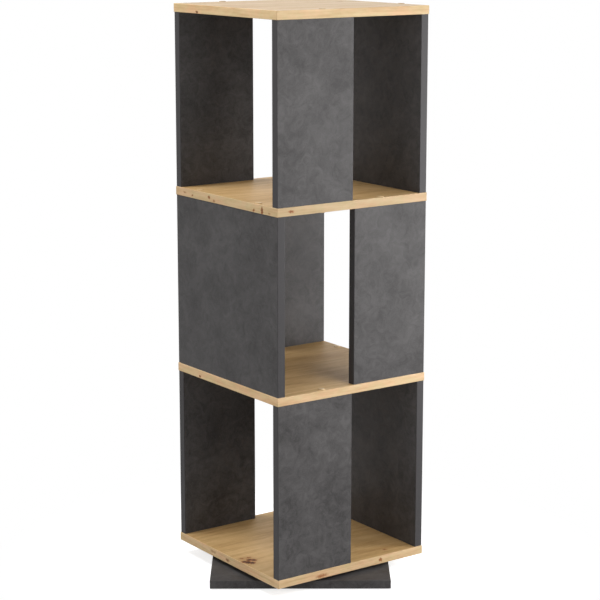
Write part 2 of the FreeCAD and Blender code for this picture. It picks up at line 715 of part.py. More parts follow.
def write_pieces():
    """Write each sub-part to a file of its own name."""
    os.makedirs("parts", exist_ok=True)
    for item in pieces:
        item.Shape.exportStep(f"parts/{item.Label}.step")
        print(item.Label, len(item.Shape.Solids), "solids", round(item.Shape.Volume), "mm3")


panel_screw = make_panel_screw()
cover_cap = make_cap()
dowel = make_dowel()
plate_screw = make_plate_screw()
panel_strip = make_strip("panel_strip", "sizes.panel_thickness", "sizes.tier_height", True)

make_base()
make_turntable()
for level, label in enumerate(BOARDS):
    make_board(label, level)
    make_board_fasteners(label, level)
for level, (name, facing) in enumerate(TIERS):
    make_tier(name, facing, level)

doc.recompute()
check_document()
write_pieces()
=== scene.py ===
# %% [markdown]
# # A revolving shelf tower
#
# Three open shelf tiers stand on each other between light oak boards, and the middle one is turned
# half round, so that the bays open to opposite sides. The tower turns on a flat ball turntable over
# a square graphite base.
#
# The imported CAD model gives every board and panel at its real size. This file adds what a camera
# and a hand would notice: oak and stone decors, rounded edging, domed screw covers, round balls and
# rivets in place of the faceted ones, soft studio light, and a camera where the photographer stood.

from math import cos, pi, radians, sin

import bmesh
import bpy
import numpy as np
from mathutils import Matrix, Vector


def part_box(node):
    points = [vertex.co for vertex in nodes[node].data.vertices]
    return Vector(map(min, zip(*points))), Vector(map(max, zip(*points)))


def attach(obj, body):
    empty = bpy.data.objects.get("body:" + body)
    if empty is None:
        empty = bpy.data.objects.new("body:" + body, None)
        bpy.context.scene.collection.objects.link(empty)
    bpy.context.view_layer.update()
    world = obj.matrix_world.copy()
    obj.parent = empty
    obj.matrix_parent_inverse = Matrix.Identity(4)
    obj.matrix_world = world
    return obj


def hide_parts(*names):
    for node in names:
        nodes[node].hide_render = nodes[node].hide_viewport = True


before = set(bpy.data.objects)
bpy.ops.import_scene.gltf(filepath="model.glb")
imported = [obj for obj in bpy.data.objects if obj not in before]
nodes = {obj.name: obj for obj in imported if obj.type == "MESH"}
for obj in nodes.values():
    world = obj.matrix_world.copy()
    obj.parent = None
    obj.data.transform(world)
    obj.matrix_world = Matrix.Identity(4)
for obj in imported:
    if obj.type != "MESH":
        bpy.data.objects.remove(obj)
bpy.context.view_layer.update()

MM = 0.001
BOARDS = ("bottom_board", "lower_middle_board", "upper_middle_board", "top_board")
TIERS = ("bottom_tier", "middle_tier", "top_tier")
SIDES = ("back_panel", "left_panel", "right_panel")
PANELS = [f"{tier}_{side}" for tier in TIERS for side in SIDES]
# Underside of the lowest board, board thickness, and rise from one board to the next, in
# millimetres.
TOWER_LOW, THICKNESS, TIER_STEP = 26.0, 16.0, 346.0


# %% [markdown]
# ## The camera
#
# The photo was taken from a little above the top board, about 3 m away, with a long lens. Its upright
# lines are parallel, as a shift lens draws them. A large shift would push the object out of every
# other view, so this camera is tipped down instead, and its place and lens were chosen to keep the
# corners of the boards within a few pixels of the photo.

# %% Place the camera
# Distance from the tower's axis and height in metres, lens in millimetres, and its shift as a share
# of the picture.
CAMERA_AZIMUTH = radians(-35.4)
CAMERA_DISTANCE = 3.474
CAMERA_HEIGHT = 1.248
CAMERA_TIP = radians(11.28)
LENS = 111.4
LENS_SHIFT = -0.03

camera_data = bpy.data.cameras.new("camera")
camera_data.lens = LENS
camera_data.shift_y = LENS_SHIFT
camera = bpy.data.objects.new("camera", camera_data)
camera.location = (
    CAMERA_DISTANCE * sin(CAMERA_AZIMUTH),
    -CAMERA_DISTANCE * cos(CAMERA_AZIMUTH),
    CAMERA_HEIGHT,
)
camera.rotation_euler = (pi / 2 - CAMERA_TIP, 0, CAMERA_AZIMUTH)
bpy.context.scene.collection.objects.link(camera)
bpy.context.scene.camera = camera

# %% [markdown]
# ## A short way to write a node material
#
# Every finish below is a small recipe of noise, bands and ramps. Writing each node out by hand takes
# many lines, so a helper adds a node, connects it and hands back its output. The recipes then read
# like formulas. All of them start from Object coordinates, which are real metres here, so a pattern
# has its true scale and stays on the piece when the tower turns.

# %% A helper for node recipes
class Recipe:
    """A material under construction. Each call adds one node and returns its output socket."""

    def __init__(self, name="", world=None):
        self.material = world or bpy.data.materials.new(name)
        self.material.use_nodes = True
        self.tree = self.material.node_tree
        self.tree.nodes.clear()

    def add(self, kind, sockets=(), **settings):
        """One node: sockets are set or connected by name or number, settings are its own options."""
        made = self.tree.nodes.new(kind)
        for key, value in settings.items():
            setattr(made, key, value)
        for key, value in dict(sockets).items():
            if isinstance(value, bpy.types.NodeSocket):
                self.tree.links.new(value, made.inputs[key])
            else:
                made.inputs[key].default_value = value
        return made

    def place(self):
        return self.add("ShaderNodeTexCoord").outputs["Object"]

    def parts(self, vector):
        return self.add("ShaderNodeSeparateXYZ", {0: vector}).outputs

    def vector(self, x, y, z):
        return self.add("ShaderNodeCombineXYZ", {0: x, 1: y, 2: z}).outputs[0]

    def math(self, operation, *values):
        return self.add("ShaderNodeMath", enumerate(values), operation=operation).outputs[0]

    def total(self, *terms):
        """Sum of values, each times its weight."""
        result = 0.0
        for value, weight in terms:
            result = self.math("MULTIPLY_ADD", value, weight, result)
        return result

    def vectors(self, operation, *values):
        return self.add("ShaderNodeVectorMath", enumerate(values), operation=operation).outputs[0]

    def length(self, vector):
        return self.add("ShaderNodeVectorMath", {0: vector}, operation="LENGTH").outputs["Value"]

    def noise(self, place, scale, detail=4.0, roughness=0.5, distortion=0.0, output="Fac"):
        sockets = {
            "Vector": place, "Scale": scale, "Detail": detail,
            "Roughness": roughness, "Distortion": distortion,
        }
        return self.add("ShaderNodeTexNoise", sockets).outputs[output]

    def between(self, value, low, high, start=0.0, end=1.0):
        """Smooth change from start to end while a value goes from low to high."""
        sockets = {"Value": value, 1: low, 2: high, 3: start, 4: end}
        made = self.add("ShaderNodeMapRange", sockets, interpolation_type="SMOOTHSTEP")
        return made.outputs[0]

    def mix(self, share, first, second, blend="MIX"):
        sockets = {0: share, 6: first, 7: second}
        made = self.add("ShaderNodeMix", sockets, data_type="RGBA", blend_type=blend)
        return made.outputs[2]

    def ramp(self, value, stops):
        """Colour along a value: stops are pairs of a position and a colour."""
        made = self.add("ShaderNodeValToRGB", {0: value})
        elements = made.color_ramp.elements
        while len(elements) < len(stops):
            elements.new(1.0)
        for element, (position, colour) in zip(elements, stops):
            element.position = position
            element.color = (*colour, 1.0)
        return made.outputs[0]

    def bump(self, height, distance, strength=1.0):
        sockets = {"Height": height, "Distance": distance, "Strength": strength}
        return self.add("ShaderNodeBump", sockets).outputs[0]

    def surface(self, **sockets):
        """The shader itself. Socket names are given with underlines for spaces."""
        named = {key.replace("_", " "): value for key, value in sockets.items()}
        shader = self.add("ShaderNodeBsdfPrincipled", named)
        self.add("ShaderNodeOutputMaterial", {"Surface": shader.outputs[0]})
        return self.material


def colour(red, green, blue):
    """A colour as seen on a screen, 0 to 255, turned into the linear values that a shader takes."""
    screen = np.array((red, green, blue)) / 255
    linear = np.where(screen <= 0.04045, screen / 12.92, ((screen + 0.055) / 1.055) ** 2.4)
    return tuple(float(value) for value in linear)


def paint(names, material):
    """Give CAD nodes a finish by putting it into all their material slots."""
    for name in names:
        for holder in nodes[name].material_slots:
            holder.material = material


# %% [markdown]
# ## Oak decor
#
# The boards are chipboard under printed oak paper. Real oak cut along its length shows long soft
# streaks, arched figures where a growth ring is cut at a low angle, short dark pores and a few
# knots. Each of these is one term: streaks are noise stretched along the grain, the arches are bands
# of a value that noise pushes sideways, pores are very thin stretched noise, and each knot is a small
# ellipse that darkens the wood and bends the bands around it.
#
# The knots have fixed places, because a decor repeats them exactly. Those at the front stand where
# the photo shows them. The top board is paler, greyer and darker than the floors: painted sheen for
# the white it mirrors at a low angle, and painted shade against the stronger light that falls on it
# from above. The edging of each board has its own lightness, with patches that lean to pink or to
# yellow. On the two strips that face along X it carries painted light, and on the other two painted
# shade.

# %% Tones of the oak, and its knots
FACE_OAK = (colour(219, 184, 132), colour(206, 169, 115), colour(176, 135, 82))
# The top board's tones are greyer and darker than the floors': painted sheen for the white it mirrors
# at a low angle, and painted shade against the stronger light from above.
TOP_OAK_PAINTED_SHEEN_AND_SHADE = (colour(196, 173, 142), colour(185, 159, 124), colour(158, 127, 90))
EDGE_OAK = (colour(240, 210, 168), colour(230, 197, 153), colour(206, 168, 122))
PINKISH, YELLOWISH = (1.05, 0.97, 0.95), (0.95, 1.0, 0.93)
# How light the edging of each board is, from the lowest one up, and what is added to that on the two
# strips that face along X, and on the other two. The addition is painted light on the strips along X,
# which include those on the dimmer left side, and painted shade on the other two.
EDGE_LIGHTNESS = (0.91, 0.91, 0.72, 0.84)
X_STRIPS_PAINTED_LIGHT, Y_STRIPS_PAINTED_SHADE = 0.17, -0.17 / 3
KNOT_RIM = colour(156, 98, 52)
KNOT_CORE = colour(64, 36, 18)
# A knot fades in between these distances from its middle, in half sizes.
KNOT_OUTSIDE, KNOT_INSIDE = 2.4, 0.2

# Middle of a knot, its half length along the grain and half width across it, in millimetres, and how
# dark it is at the middle, from 0 to 1.
EDGE_KNOTS = (
    ((-170, 89, 1067), 2.6, 1.8, 0.85), ((170, -60, 1071), 3.0, 2.0, 0.7),
    ((35, 170, 1074), 4.5, 1.8, 0.5), ((-170, 53, 727), 2.6, 2.2, 0.7),
    ((-170, 36, 722), 2.6, 1.6, 0.4), ((-170, 111, 723), 2.2, 1.5, 0.5),
    ((-170, 138, 726), 3.6, 1.4, 0.35), ((-170, -95, 722), 2.4, 1.8, 0.6),
    ((-170, -145, 722), 2.4, 1.4, 0.35), ((-170, -122, 724), 2.4, 4.6, 0.8),
    ((-140, -170, 726), 4.0, 1.8, 0.7), ((170, 96, 729), 3.0, 2.2, 0.7),
    ((-40, 170, 724), 3.0, 2.0, 0.6), ((-170, 91, 376), 2.6, 1.8, 0.6),
    ((170, -20, 381), 3.0, 2.0, 0.7), ((90, 170, 377), 4.0, 1.6, 0.4),
    ((-170, 0, 33), 5.0, 2.2, 0.4), ((-170, 51, 35), 8.0, 2.2, 0.3),
    ((68, -170, 34), 3.0, 2.6, 0.6), ((-71, -170, 31), 10.0, 2.6, 0.45),
    ((170, 70, 35), 3.0, 2.0, 0.7), ((-88, 170, 30), 3.4, 2.2, 0.6),
)
FACE_KNOTS = (
    ((-163, -48, 42), 4.0, 4.0, 1.0), ((-159, -55, 42), 4.4, 5.0, 1.0),
    ((-154, -61, 42), 4.4, 4.0, 1.0), ((-155, -49, 42), 3.4, 3.6, 0.75),
    ((-149, -44, 42), 4.4, 3.6, 0.9), ((-143, -50, 42), 3.8, 4.4, 0.9),
    ((-144, -33, 42), 4.5, 2.6, 0.5), ((-157, -30, 42), 3.6, 3.4, 0.45),
    ((-152, -44, 42), 17.0, 18.0, 0.22), ((48, 74, 42), 6.0, 4.0, 0.7),
    ((96, -146, 42), 3.6, 2.6, 0.5), ((-150, -132, 734), 4.0, 2.6, 0.6),
    ((66, 20, 734), 6.0, 4.0, 0.8), ((-30, 120, 388), 5.0, 3.4, 0.7),
    ((120, -88, 388), 4.0, 2.6, 0.6), ((-64, 92, 1080), 3.4, 2.4, 0.6),
    ((118, 36, 1080), 5.0, 3.4, 0.8), ((-20, 60, 26), 6.0, 4.0, 0.8),
    ((84, -40, 372), 5.0, 3.6, 0.7), ((-90, -70, 718), 4.0, 3.0, 0.6),
    ((30, 96, 1064), 6.0, 4.0, 0.7),
)


# %% How deep a point lies in a knot
def knot_depth(recipe, point, knots, along_axes):
    """How deep a point lies in the nearest knot: 0 well outside, its darkness at its middle.

    It falls with the distance to the middle, measured after space is squeezed along the grain and
    across it, so that the knot becomes a ball of radius 1.
    """
    depth = 0.0
    for middle, length, width, darkness in knots:
        away = recipe.vectors("SUBTRACT", point, [MM * value for value in middle])
        squeeze = [1 / (MM * (length if axis in along_axes else width)) for axis in range(3)]
        reach = recipe.length(recipe.vectors("MULTIPLY", away, squeeze))
        inside = recipe.between(reach, KNOT_OUTSIDE, KNOT_INSIDE, 0.0, darkness)
        depth = recipe.math("MAXIMUM", depth, inside)
    return depth


# %% Oak, as one recipe for board faces and for edging
# Each noise of the wood: the share of distances that is kept along the grain, then the scale, the
# detail and the roughness of the noise.
SLOW = (0.28, 9.0, 2.0, 0.5)
STREAKS = (0.035, 300.0, 5.0, 0.62)
BROAD = (0.14, 24.0, 3.0, 0.5)
FLECKS = (0.3, 210.0, 3.0, 0.6)
PORES = (0.05, 1500.0, 2.0, 0.4)
PATCHES = (0.4, 55.0, 3.0, 0.6)
# Growth rings to the metre, and how far slow noise and a knot push them, in metres.
RINGS_ON_EDGING, RINGS_ON_FACES = 92.0, 70.0
SLOW_PUSH, KNOT_PUSH = 0.16, 0.010
# Scale and detail of the noise that makes knots ragged, and the range over which it moves them, in
# metres.
RAGGED = (300.0, 3.0)
WANDER_ON_EDGING, WANDER_ON_FACES = 0.006, 0.008
# Darkness of the pores, gloss, and height of the unevenness in metres.
PORE_DARKNESS, OAK_GLOSS, OAK_BUMP = 0.30, 0.35, 0.00012
# Patterns change this many times faster through a board than across it.
THROUGH_BOARD = 3.0


def make_oak(name, tones, knots, edging):
    light, middle, deep = tones
    recipe = Recipe(name)
    place = recipe.place()
    x, y, z = recipe.parts(place)
    if edging:
        # On the two sides that face along X the strip runs along Y, and on the others along X.
        side = recipe.math("GREATER_THAN", recipe.math("ABSOLUTE", x), recipe.math("ABSOLUTE", y))
        other = recipe.math("SUBTRACT", 1.0, side)
        along = recipe.total((y, side), (x, other))
        depth = recipe.total((x, side), (y, other))
        across, knot_axes = z, (0, 1)
    else:
        along, across, depth = x, y, recipe.math("MULTIPLY", z, THROUGH_BOARD)
        knot_axes = (0,)

    def stretched(share, scale, detail, roughness):
        """Noise with distances along the grain cut short, so that its patterns are long there."""
        point = recipe.vector(recipe.math("MULTIPLY", along, share), across, depth)
        return recipe.noise(point, scale, detail, roughness)

    # Knots have ragged outlines, so the place wanders by a millimetre or two before it is measured.
    wander = WANDER_ON_EDGING if edging else WANDER_ON_FACES
    ragged = recipe.noise(place, *RAGGED, output="Color")
    ragged = recipe.vectors("MULTIPLY_ADD", ragged, [wander] * 3, place)
    ragged = recipe.vectors("SUBTRACT", ragged, [wander / 2] * 3)
    knot = knot_depth(recipe, ragged, knots, knot_axes)
    # Growth rings: a value that rises across the grain, pushed about by slow noise and by knots.
    push = recipe.total((stretched(*SLOW), SLOW_PUSH), (knot, KNOT_PUSH))
    density = RINGS_ON_EDGING if edging else RINGS_ON_FACES
    rings = recipe.math("MULTIPLY", recipe.math("ADD", across, push), density)
    ring = recipe.math("PINGPONG", rings, 1.0)
    # Streaks and pores: noise that changes far faster across the grain than along it.
    streaks = stretched(*STREAKS)
    pores = recipe.between(stretched(*PORES), 0.60, 0.72)
    tone = recipe.total(
        (ring, 0.10), (streaks, 0.34), (stretched(*BROAD), 0.34), (stretched(*FLECKS), 0.22)
    )
    wood = recipe.ramp(tone, ((0.36, light), (0.5, middle), (0.68, deep)))
    wood = recipe.mix(recipe.math("MULTIPLY", pores, PORE_DARKNESS), wood, (*deep, 1.0))
    if edging:
        tint = recipe.ramp(stretched(*PATCHES), ((0.36, PINKISH), (0.64, YELLOWISH)))
        wood = recipe.mix(1.0, wood, tint, "MULTIPLY")
        # Painted light lifts the strips along X, on the dimmer left side and at the back, and painted
        # shade lowers the other two.
        lightness = recipe.total(
            (1.0, EDGE_LIGHTNESS[0]), (side, X_STRIPS_PAINTED_LIGHT), (other, Y_STRIPS_PAINTED_SHADE)
        )
        for level, (lower, upper) in enumerate(zip(EDGE_LIGHTNESS, EDGE_LIGHTNESS[1:])):
            above = recipe.math("GREATER_THAN", z, MM * (TOWER_LOW + (level + 0.5) * TIER_STEP))
            lightness = recipe.total((lightness, 1.0), (above, upper - lower))
        wood = recipe.mix(1.0, wood, recipe.vector(lightness, lightness, lightness), "MULTIPLY")
    wood = recipe.mix(recipe.between(knot, 0.04, 0.5), wood, (*KNOT_RIM, 1.0))
    wood = recipe.mix(recipe.between(knot, 0.45, 0.95), wood, (*KNOT_CORE, 1.0))
    grain = recipe.total((streaks, 1.0), (pores, -0.6))
    return recipe.surface(
        Base_Color=wood,
        Roughness=recipe.between(streaks, 0.3, 0.7, 0.54, 0.66),
        Specular_IOR_Level=OAK_GLOSS,
        Normal=recipe.bump(grain, OAK_BUMP, 0.5),
    )


# %% Paint the boards
oak_face = make_oak("oak_decor", FACE_OAK, FACE_KNOTS, edging=False)
# The top board gets its own decor, with the painted sheen and shade in its tones.
oak_top_painted_sheen_and_shade = make_oak("oak_decor_top_painted_sheen_and_shade", TOP_OAK_PAINTED_SHEEN_AND_SHADE, FACE_KNOTS, edging=False)
oak_edge = make_oak("oak_edging", EDGE_OAK, EDGE_KNOTS, edging=True)
paint(BOARDS[:3], oak_face)
paint(BOARDS[3:], oak_top_painted_sheen_and_shade)

# %% [markdown]
# ## Graphite decor
#
# The panels and the base carry a paper that looks like trowelled stone: a dark grey with clouds a
# few centimetres across, finer mottling inside them and a few pale flecks. Three noises of falling
# size are added, and the middle one is distorted so that its patches look brushed and not round. The
# contrast stays low, because the real panels are nearly even from a step away. The paper has a faint
# gloss, which is why the side that mirrors a lamp looks paler than its colour alone would.

# %% Graphite, for panels and base, and its plain edging
GRAPHITE_LIGHT = colour(90, 88, 88)
GRAPHITE_DARK = colour(59, 57, 57)
GRAPHITE_FLECK = colour(112, 110, 108)
GRAPHITE_GLOSS, FLECK_STRENGTH = 0.18, 0.25
# Height of the unevenness of the decor and of its edging, in metres.
GRAPHITE_BUMP, EDGING_BUMP = 0.00010, 0.00005
# Scale, detail, roughness and, where there is one, distortion of each noise.
CLOUDS = (14.0, 3.0, 0.55, 0.6)
BRUSHED = (48.0, 5.0, 0.62, 1.4)
FINE = (420.0, 3.0, 0.5)
PALE_FLECKS = (150.0, 2.0, 0.5, 2.0)
EDGING_GRAIN = (700.0, 3.0, 0.5)


def make_graphite():
    recipe = Recipe("graphite_decor")
    place = recipe.place()
    clouds, brushed, fine = (recipe.noise(place, *noise) for noise in (CLOUDS, BRUSHED, FINE))
    tone = recipe.total((clouds, 0.36), (brushed, 0.44), (fine, 0.20))
    stone = recipe.ramp(tone, ((0.38, GRAPHITE_DARK), (0.62, GRAPHITE_LIGHT)))
    flecks = recipe.between(recipe.noise(place, *PALE_FLECKS), 0.70, 0.80)
    stone = recipe.mix(recipe.math("MULTIPLY", flecks, FLECK_STRENGTH), stone, (*GRAPHITE_FLECK, 1.0))
    return recipe.surface(
        Base_Color=stone,
        Roughness=recipe.between(brushed, 0.3, 0.7, 0.46, 0.54),
        Specular_IOR_Level=GRAPHITE_GLOSS,
        Normal=recipe.bump(tone, GRAPHITE_BUMP, 0.4),
    )


def make_graphite_edging():
    recipe = Recipe("graphite_edging")
    fine = recipe.noise(recipe.place(), *EDGING_GRAIN)
    plain = recipe.ramp(fine, ((0.3, colour(62, 60, 61)), (0.7, colour(69, 67, 68))))
    return recipe.surface(
        Base_Color=plain, Roughness=0.5, Specular_IOR_Level=GRAPHITE_GLOSS,
        Normal=recipe.bump(fine, EDGING_BUMP, 0.3),
    )


graphite_face = make_graphite()
graphite_edge = make_graphite_edging()
paint(PANELS + ["base_board"], graphite_face)

# %% [markdown]
# ## Metal, nylon, beech and plastic
#
# The working parts are plain: zinc-plated sheet and screws, polished balls, a pale nylon cage and
# washer, beech dowels and black glides. Each gets a little unevenness, because a single flat value
# looks like an unfinished model as soon as the light moves over it.

# %% Finishes of the small parts
# Height of the unevenness of plastic, in metres.
PLASTIC_BUMP = 0.00005


def make_metal(name, bright, dull, low, high, scale):
    """Metal whose colour and roughness wander between two values."""
    recipe = Recipe(name)
    cloud = recipe.noise(recipe.place(), scale, 4.0, 0.6)
    shade = recipe.ramp(cloud, ((0.35, dull), (0.65, bright)))
    return recipe.surface(
        Base_Color=shade, Metallic=1.0, Roughness=recipe.between(cloud, 0.3, 0.7, low, high)
    )


def make_plain(name, light, dark, roughness, scale):
    """A plastic whose tone and surface wander a little."""
    recipe = Recipe(name)
    cloud = recipe.noise(recipe.place(), scale, 4.0, 0.55)
    shade = recipe.ramp(cloud, ((0.3, dark), (0.7, light)))
    return recipe.surface(
        Base_Color=shade, Roughness=roughness, Normal=recipe.bump(cloud, PLASTIC_BUMP, 0.5)
    )


def make_beech():
    recipe = Recipe("beech")
    x, y, z = recipe.parts(recipe.place())
    grain = recipe.noise(recipe.vector(x, y, recipe.math("MULTIPLY", z, 0.06)), 900.0, 4.0, 0.6)
    shade = recipe.ramp(grain, ((0.3, colour(176, 132, 92)), (0.7, colour(214, 176, 134))))
    return recipe.surface(Base_Color=shade, Roughness=0.6, Normal=recipe.bump(grain, 0.0001, 0.5))


zinc = make_metal("zinc_sheet", colour(206, 208, 210), colour(168, 170, 172), 0.28, 0.46, 60.0)
screw_zinc = make_metal("screw_zinc", colour(204, 202, 196), colour(164, 162, 156), 0.25, 0.4, 500.0)
ball_steel = make_metal("ball_steel", colour(222, 222, 224), colour(198, 198, 200), 0.06, 0.14, 400.0)
nylon = make_plain("nylon", colour(232, 229, 218), colour(214, 210, 198), 0.42, 220.0)
cap_oak = make_plain("cap_oak_tone", colour(224, 194, 146), colour(212, 180, 132), 0.5, 300.0)
# The caps on the top board carry the same painted sheen and shade as that board's tones.
top_cap_painted_sheen_and_shade = make_plain("top_cap_painted_sheen_and_shade_tone", colour(192, 168, 134), colour(180, 154, 118), 0.5, 300.0)
glide_black = make_plain("glide_black", colour(52, 52, 54), colour(34, 34, 36), 0.34, 260.0)
beech = make_beech()

paint(["turntable_lower_plate", "turntable_upper_plate"], zinc)
paint(["ball_cage"], nylon)

# %% [markdown]
# ## Surfaces from grids
#
# Every new piece is a grid of points worked out at once with numpy: columns run all the way round
# the piece, and rows run from one end of it to the other. One function turns such grids into a
# closed mesh. Where a row shrinks to a point, as at the top of a dome, its points are merged, so
# that no hole is left. Sizes are written in millimetres, as on a drawing, and become metres here.

# %% Turn grids into a mesh piece
# Points closer than this are merged, in metres, and edges sharper than this stay sharp.
MERGE_DISTANCE = 1e-7
SHARP_ANGLE = radians(38)


def grid_faces(count, rows, columns, ring=False):
    """Four point numbers for each face of a number of grids.

    Each face joins a point to its neighbours in the next column and the next row. On a ring the last
    row joins the first one.
    """
    shape, row, column = np.meshgrid(
        np.arange(count), np.arange(rows if ring else rows - 1), np.arange(columns), indexing="ij"
    )
    after, below = (column + 1) % columns, (row + 1) % rows
    corners = ((row, column), (row, after), (below, after), (below, column))
    faces = np.stack([(shape * rows + down) * columns + along for down, along in corners], axis=-1)
    return faces.reshape(-1, 4)


def make_piece(name, shapes, material, body, replaced, ring=False):
    """Mesh of closed shapes, given as an array: shape, row, column, xyz."""
    shapes = np.asarray(shapes)
    faces = grid_faces(*shapes.shape[:3], ring=ring)
    mesh = bpy.data.meshes.new(name)
    mesh.from_pydata((MM * shapes).reshape(-1, 3).tolist(), [], faces.tolist())
    work = bmesh.new()
    work.from_mesh(mesh)
    bmesh.ops.remove_doubles(work, verts=work.verts, dist=MERGE_DISTANCE)
    bmesh.ops.recalc_face_normals(work, faces=work.faces)
    work.to_mesh(mesh)
    work.free()
    mesh.shade_smooth()
    mesh.set_sharp_from_angle(angle=SHARP_ANGLE)
    mesh.materials.append(material)
    piece = bpy.data.objects.new(name, mesh)
    bpy.context.scene.collection.objects.link(piece)
    # Large flat faces keep their own direction, and the narrow rounded ones blend into them.
    piece.modifiers.new("flat_faces_stay_flat", "WEIGHTED_NORMAL").keep_sharp = True
    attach(piece, body)
    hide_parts(replaced)
    print(f"{name}: {len(mesh.polygons)} faces")


def turned(points, angle):
    """Points turned about Z by the usual formula: x cos - y sin, x sin + y cos."""
    x, y, z = np.moveaxis(np.asarray(points, float), -1, 0)
    return np.stack((x * cos(angle) - y * sin(angle), x * sin(angle) + y * cos(angle), z), axis=-1)


# %% [markdown]
# ## Edging with rounded arrises
#
# Chipboard is closed with thin strips glued round it. After gluing, the strip is milled flush and
# its outer arrises are rounded, and that small radius is what catches the light along every board.
# The CAD strips only have a bevel. Here each strip is a rounded slab: a point on a sphere is pushed
# out along each axis until the slab has its size, which leaves flat faces and evenly rounded edges.
# The half that would lie inside the board is flattened onto the glue line.
#
# Two strips of a board run its full length, and the other two fit between them. Their ends are
# nearly square, so a hairline shows where strips meet.

# %% Rounded slabs
# Radius of an arris and of the ends that meet a neighbour, in millimetres, and faces along one arc.
ARRIS = 0.8
HAIRLINE = 0.1
ARRIS_STEPS = 4


def rounded_slabs(low, high, radius, outward):
    """Slabs between opposite corners, with one radius per axis. The arrays have a row per slab.

    A point is the middle, plus the sign of its direction times the half size less the radius, plus
    the radius times the direction. The direction goes once over the whole sphere. The glued face is
    the one against the outward direction, and nothing goes past it.
    """
    low, high, radius, outward = (
        np.broadcast_to(np.asarray(value, float), np.shape(low))[:, None, None]
        for value in (low, high, radius, outward)
    )
    start = np.where(outward > 0, low - radius, low)
    end = np.where(outward < 0, high + radius, high)
    quarter = np.linspace(0, pi / 2, ARRIS_STEPS + 1)
    latitude = np.concatenate((quarter - pi / 2, quarter))[:, None]
    longitude = (np.arange(4)[:, None] * pi / 2 + quarter).ravel()[None]
    quadrants = ((1, -1, -1, 1), (1, 1, -1, -1))
    sign_x, sign_y = (np.repeat(signs, len(quarter))[None] for signs in quadrants)
    sign_z = np.repeat((-1, 1), len(quarter))[:, None]
    direction = np.stack(
        np.broadcast_arrays(
            np.cos(latitude) * np.cos(longitude),
            np.cos(latitude) * np.sin(longitude),
            np.sin(latitude),
        ), axis=-1,
    )
    sign = np.stack(np.broadcast_arrays(sign_x, sign_y, sign_z), axis=-1)
    shell = sign * ((end - start) / 2 - radius) + radius * direction
    # The two end faces are closed from their rim to their middle.
    rims = shell[:, [0, -1]] * np.array((0, 0, 1))
    shell = np.concatenate((rims[:, :1], shell, rims[:, 1:]), axis=1) + (start + end) / 2
    shell = np.where(outward > 0, np.maximum(shell, low), shell)
    return np.where(outward < 0, np.minimum(shell, high), shell)


# %% Edging round the five boards
# Half the side of a board, thickness of a strip, and height of the base's underside, in
# millimetres, and how far the base is turned at rest.
BOARD_REACH = 170.0
STRIP = 1.0
BASE_LOW = 2.0
BASE_TURN = radians(-35.2)


def board_strips(height):
    """The four strips round a square board whose underside is at a height."""
    outer, inner = BOARD_REACH, BOARD_REACH - STRIP
    top = height + THICKNESS
    low = (
        (-outer, inner, height), (-outer, -outer, height), (inner, -inner, height),
        (-outer, -inner, height),
    )
    high = ((outer, outer, top), (outer, -inner, top), (outer, inner, top), (-inner, inner, top))
    radius = ((ARRIS, ARRIS, ARRIS),) * 2 + ((ARRIS, HAIRLINE, ARRIS),) * 2
    outward = ((0, 1, 0), (0, -1, 0), (1, 0, 0), (-1, 0, 0))
    return rounded_slabs(low, high, radius, outward)


board_low = {board: TOWER_LOW + level * TIER_STEP for level, board in enumerate(BOARDS)}
for board, height in board_low.items():
    make_piece(
        f"{board}_rounded_edging", board_strips(height), oak_edge, "tower",
        f"{board}_edging",
    )
make_piece(
    "base_rounded_edging", turned(board_strips(BASE_LOW), BASE_TURN), graphite_face, "base",
    "base_edging",
)

# %% Edging on the upright edges of the panels
for panel in PANELS:
    low, high = (np.array(corner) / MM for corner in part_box(f"{panel}_edging"))
    # The strips close the two ends of the panel's longer side.
    axis = int(np.argmax((high - low)[:2]))
    inner_high, inner_low = high.copy(), low.copy()
    inner_high[axis] = low[axis] + STRIP
    inner_low[axis] = high[axis] - STRIP
    outward = np.zeros((2, 3))
    outward[:, axis] = (-1, 1)
    slabs = rounded_slabs((low, inner_low), (inner_high, high), (ARRIS, ARRIS, 0.0), outward)
    make_piece(
        f"{panel}_rounded_edging", slabs, graphite_edge, "tower",
        f"{panel}_edging",
    )

# %% [markdown]
# ## Round hardware
#
# Balls, caps, washers, glides, rivets and screws are all turned shapes: a profile of radii and
# heights carried round an axis. The CAD model draws them with a few flats to stay light. Here the
# profiles get arcs, and the radius may also change with the angle, which gives six-sided sockets,
# flutes and screw threads from the same function.

# %% Profiles and turning
def arc(middle, size, start, end, steps=6):
    """Points (radius, height) on an ellipse round a middle, between two angles in degrees."""
    angle = np.radians(np.linspace(start, end, steps))
    radius, height = middle[0] + size[0] * np.cos(angle), middle[1] + size[1] * np.sin(angle)
    return np.column_stack((radius, height))


def round_angles(columns):
    return 2 * pi * np.arange(columns) / columns


def carried_round(radius, height, columns):
    """Rows of points, with a radius and a height per row or per point, round a circle about Z."""
    angle = round_angles(columns)[None]
    x, y = radius * np.cos(angle), radius * np.sin(angle)
    return np.stack(np.broadcast_arrays(x, y, height), axis=-1)


def lathe(*runs, columns=32):
    """Runs of (radius, height) points, one after the other, each carried round a circle."""
    radius, height = np.vstack(runs).T[:, :, None]
    return carried_round(radius, height, columns)


def placed(shape, spots):
    """Copies of a shape at spots (x, y, z, up), where up is 1, or -1 for upside down.

    Upside down is half a turn about X, which changes the signs of y and z.
    """
    spots = np.asarray(spots, float)[:, None, None]
    up = spots[..., 3:]
    return shape[None] * np.concatenate((np.ones_like(up), up, up), axis=-1) + spots[..., :3]


# %% [markdown]
# ## Screw caps
#
# Wherever a screw head shows on an oak board, a small cap in the colour of that board covers it. It
# is a shallow dome with an upright rim. The dome's profile is a superellipse, which is flatter on
# top and fuller at the rim than a ball cut off by a plane. The lowest board has no caps, because its
# screws go in from below.

